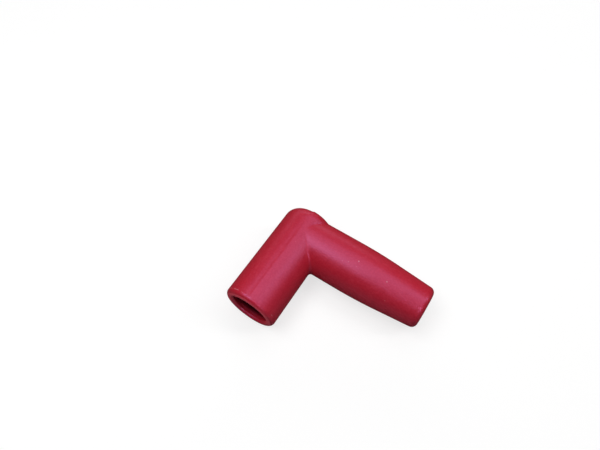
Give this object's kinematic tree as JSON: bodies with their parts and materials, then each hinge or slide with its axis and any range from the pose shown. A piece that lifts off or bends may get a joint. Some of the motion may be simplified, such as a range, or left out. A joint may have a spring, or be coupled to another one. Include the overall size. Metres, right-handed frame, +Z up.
{
  "type": "spark plug cap",
  "caption": "Right-angle moulded rubber spark plug cap with a flared plug mouth on one leg and a tapered wire entry on the other.",
  "frame": {"origin": "on the ground, under the middle of the outline of the cap as it lies on its side", "axes": "+X along the wire leg toward the wire entry, -Y along the plug leg toward the plug mouth, +Z up, with both legs level"},
  "size_m": [0.0658, 0.0466, 0.0215],
  "materials": {
    "red_silicone": "satin moulded silicone rubber"
  },
  "bodies": {
    "root": {"elbow_boot": "red_silicone"}
  },
  "joints": []
}
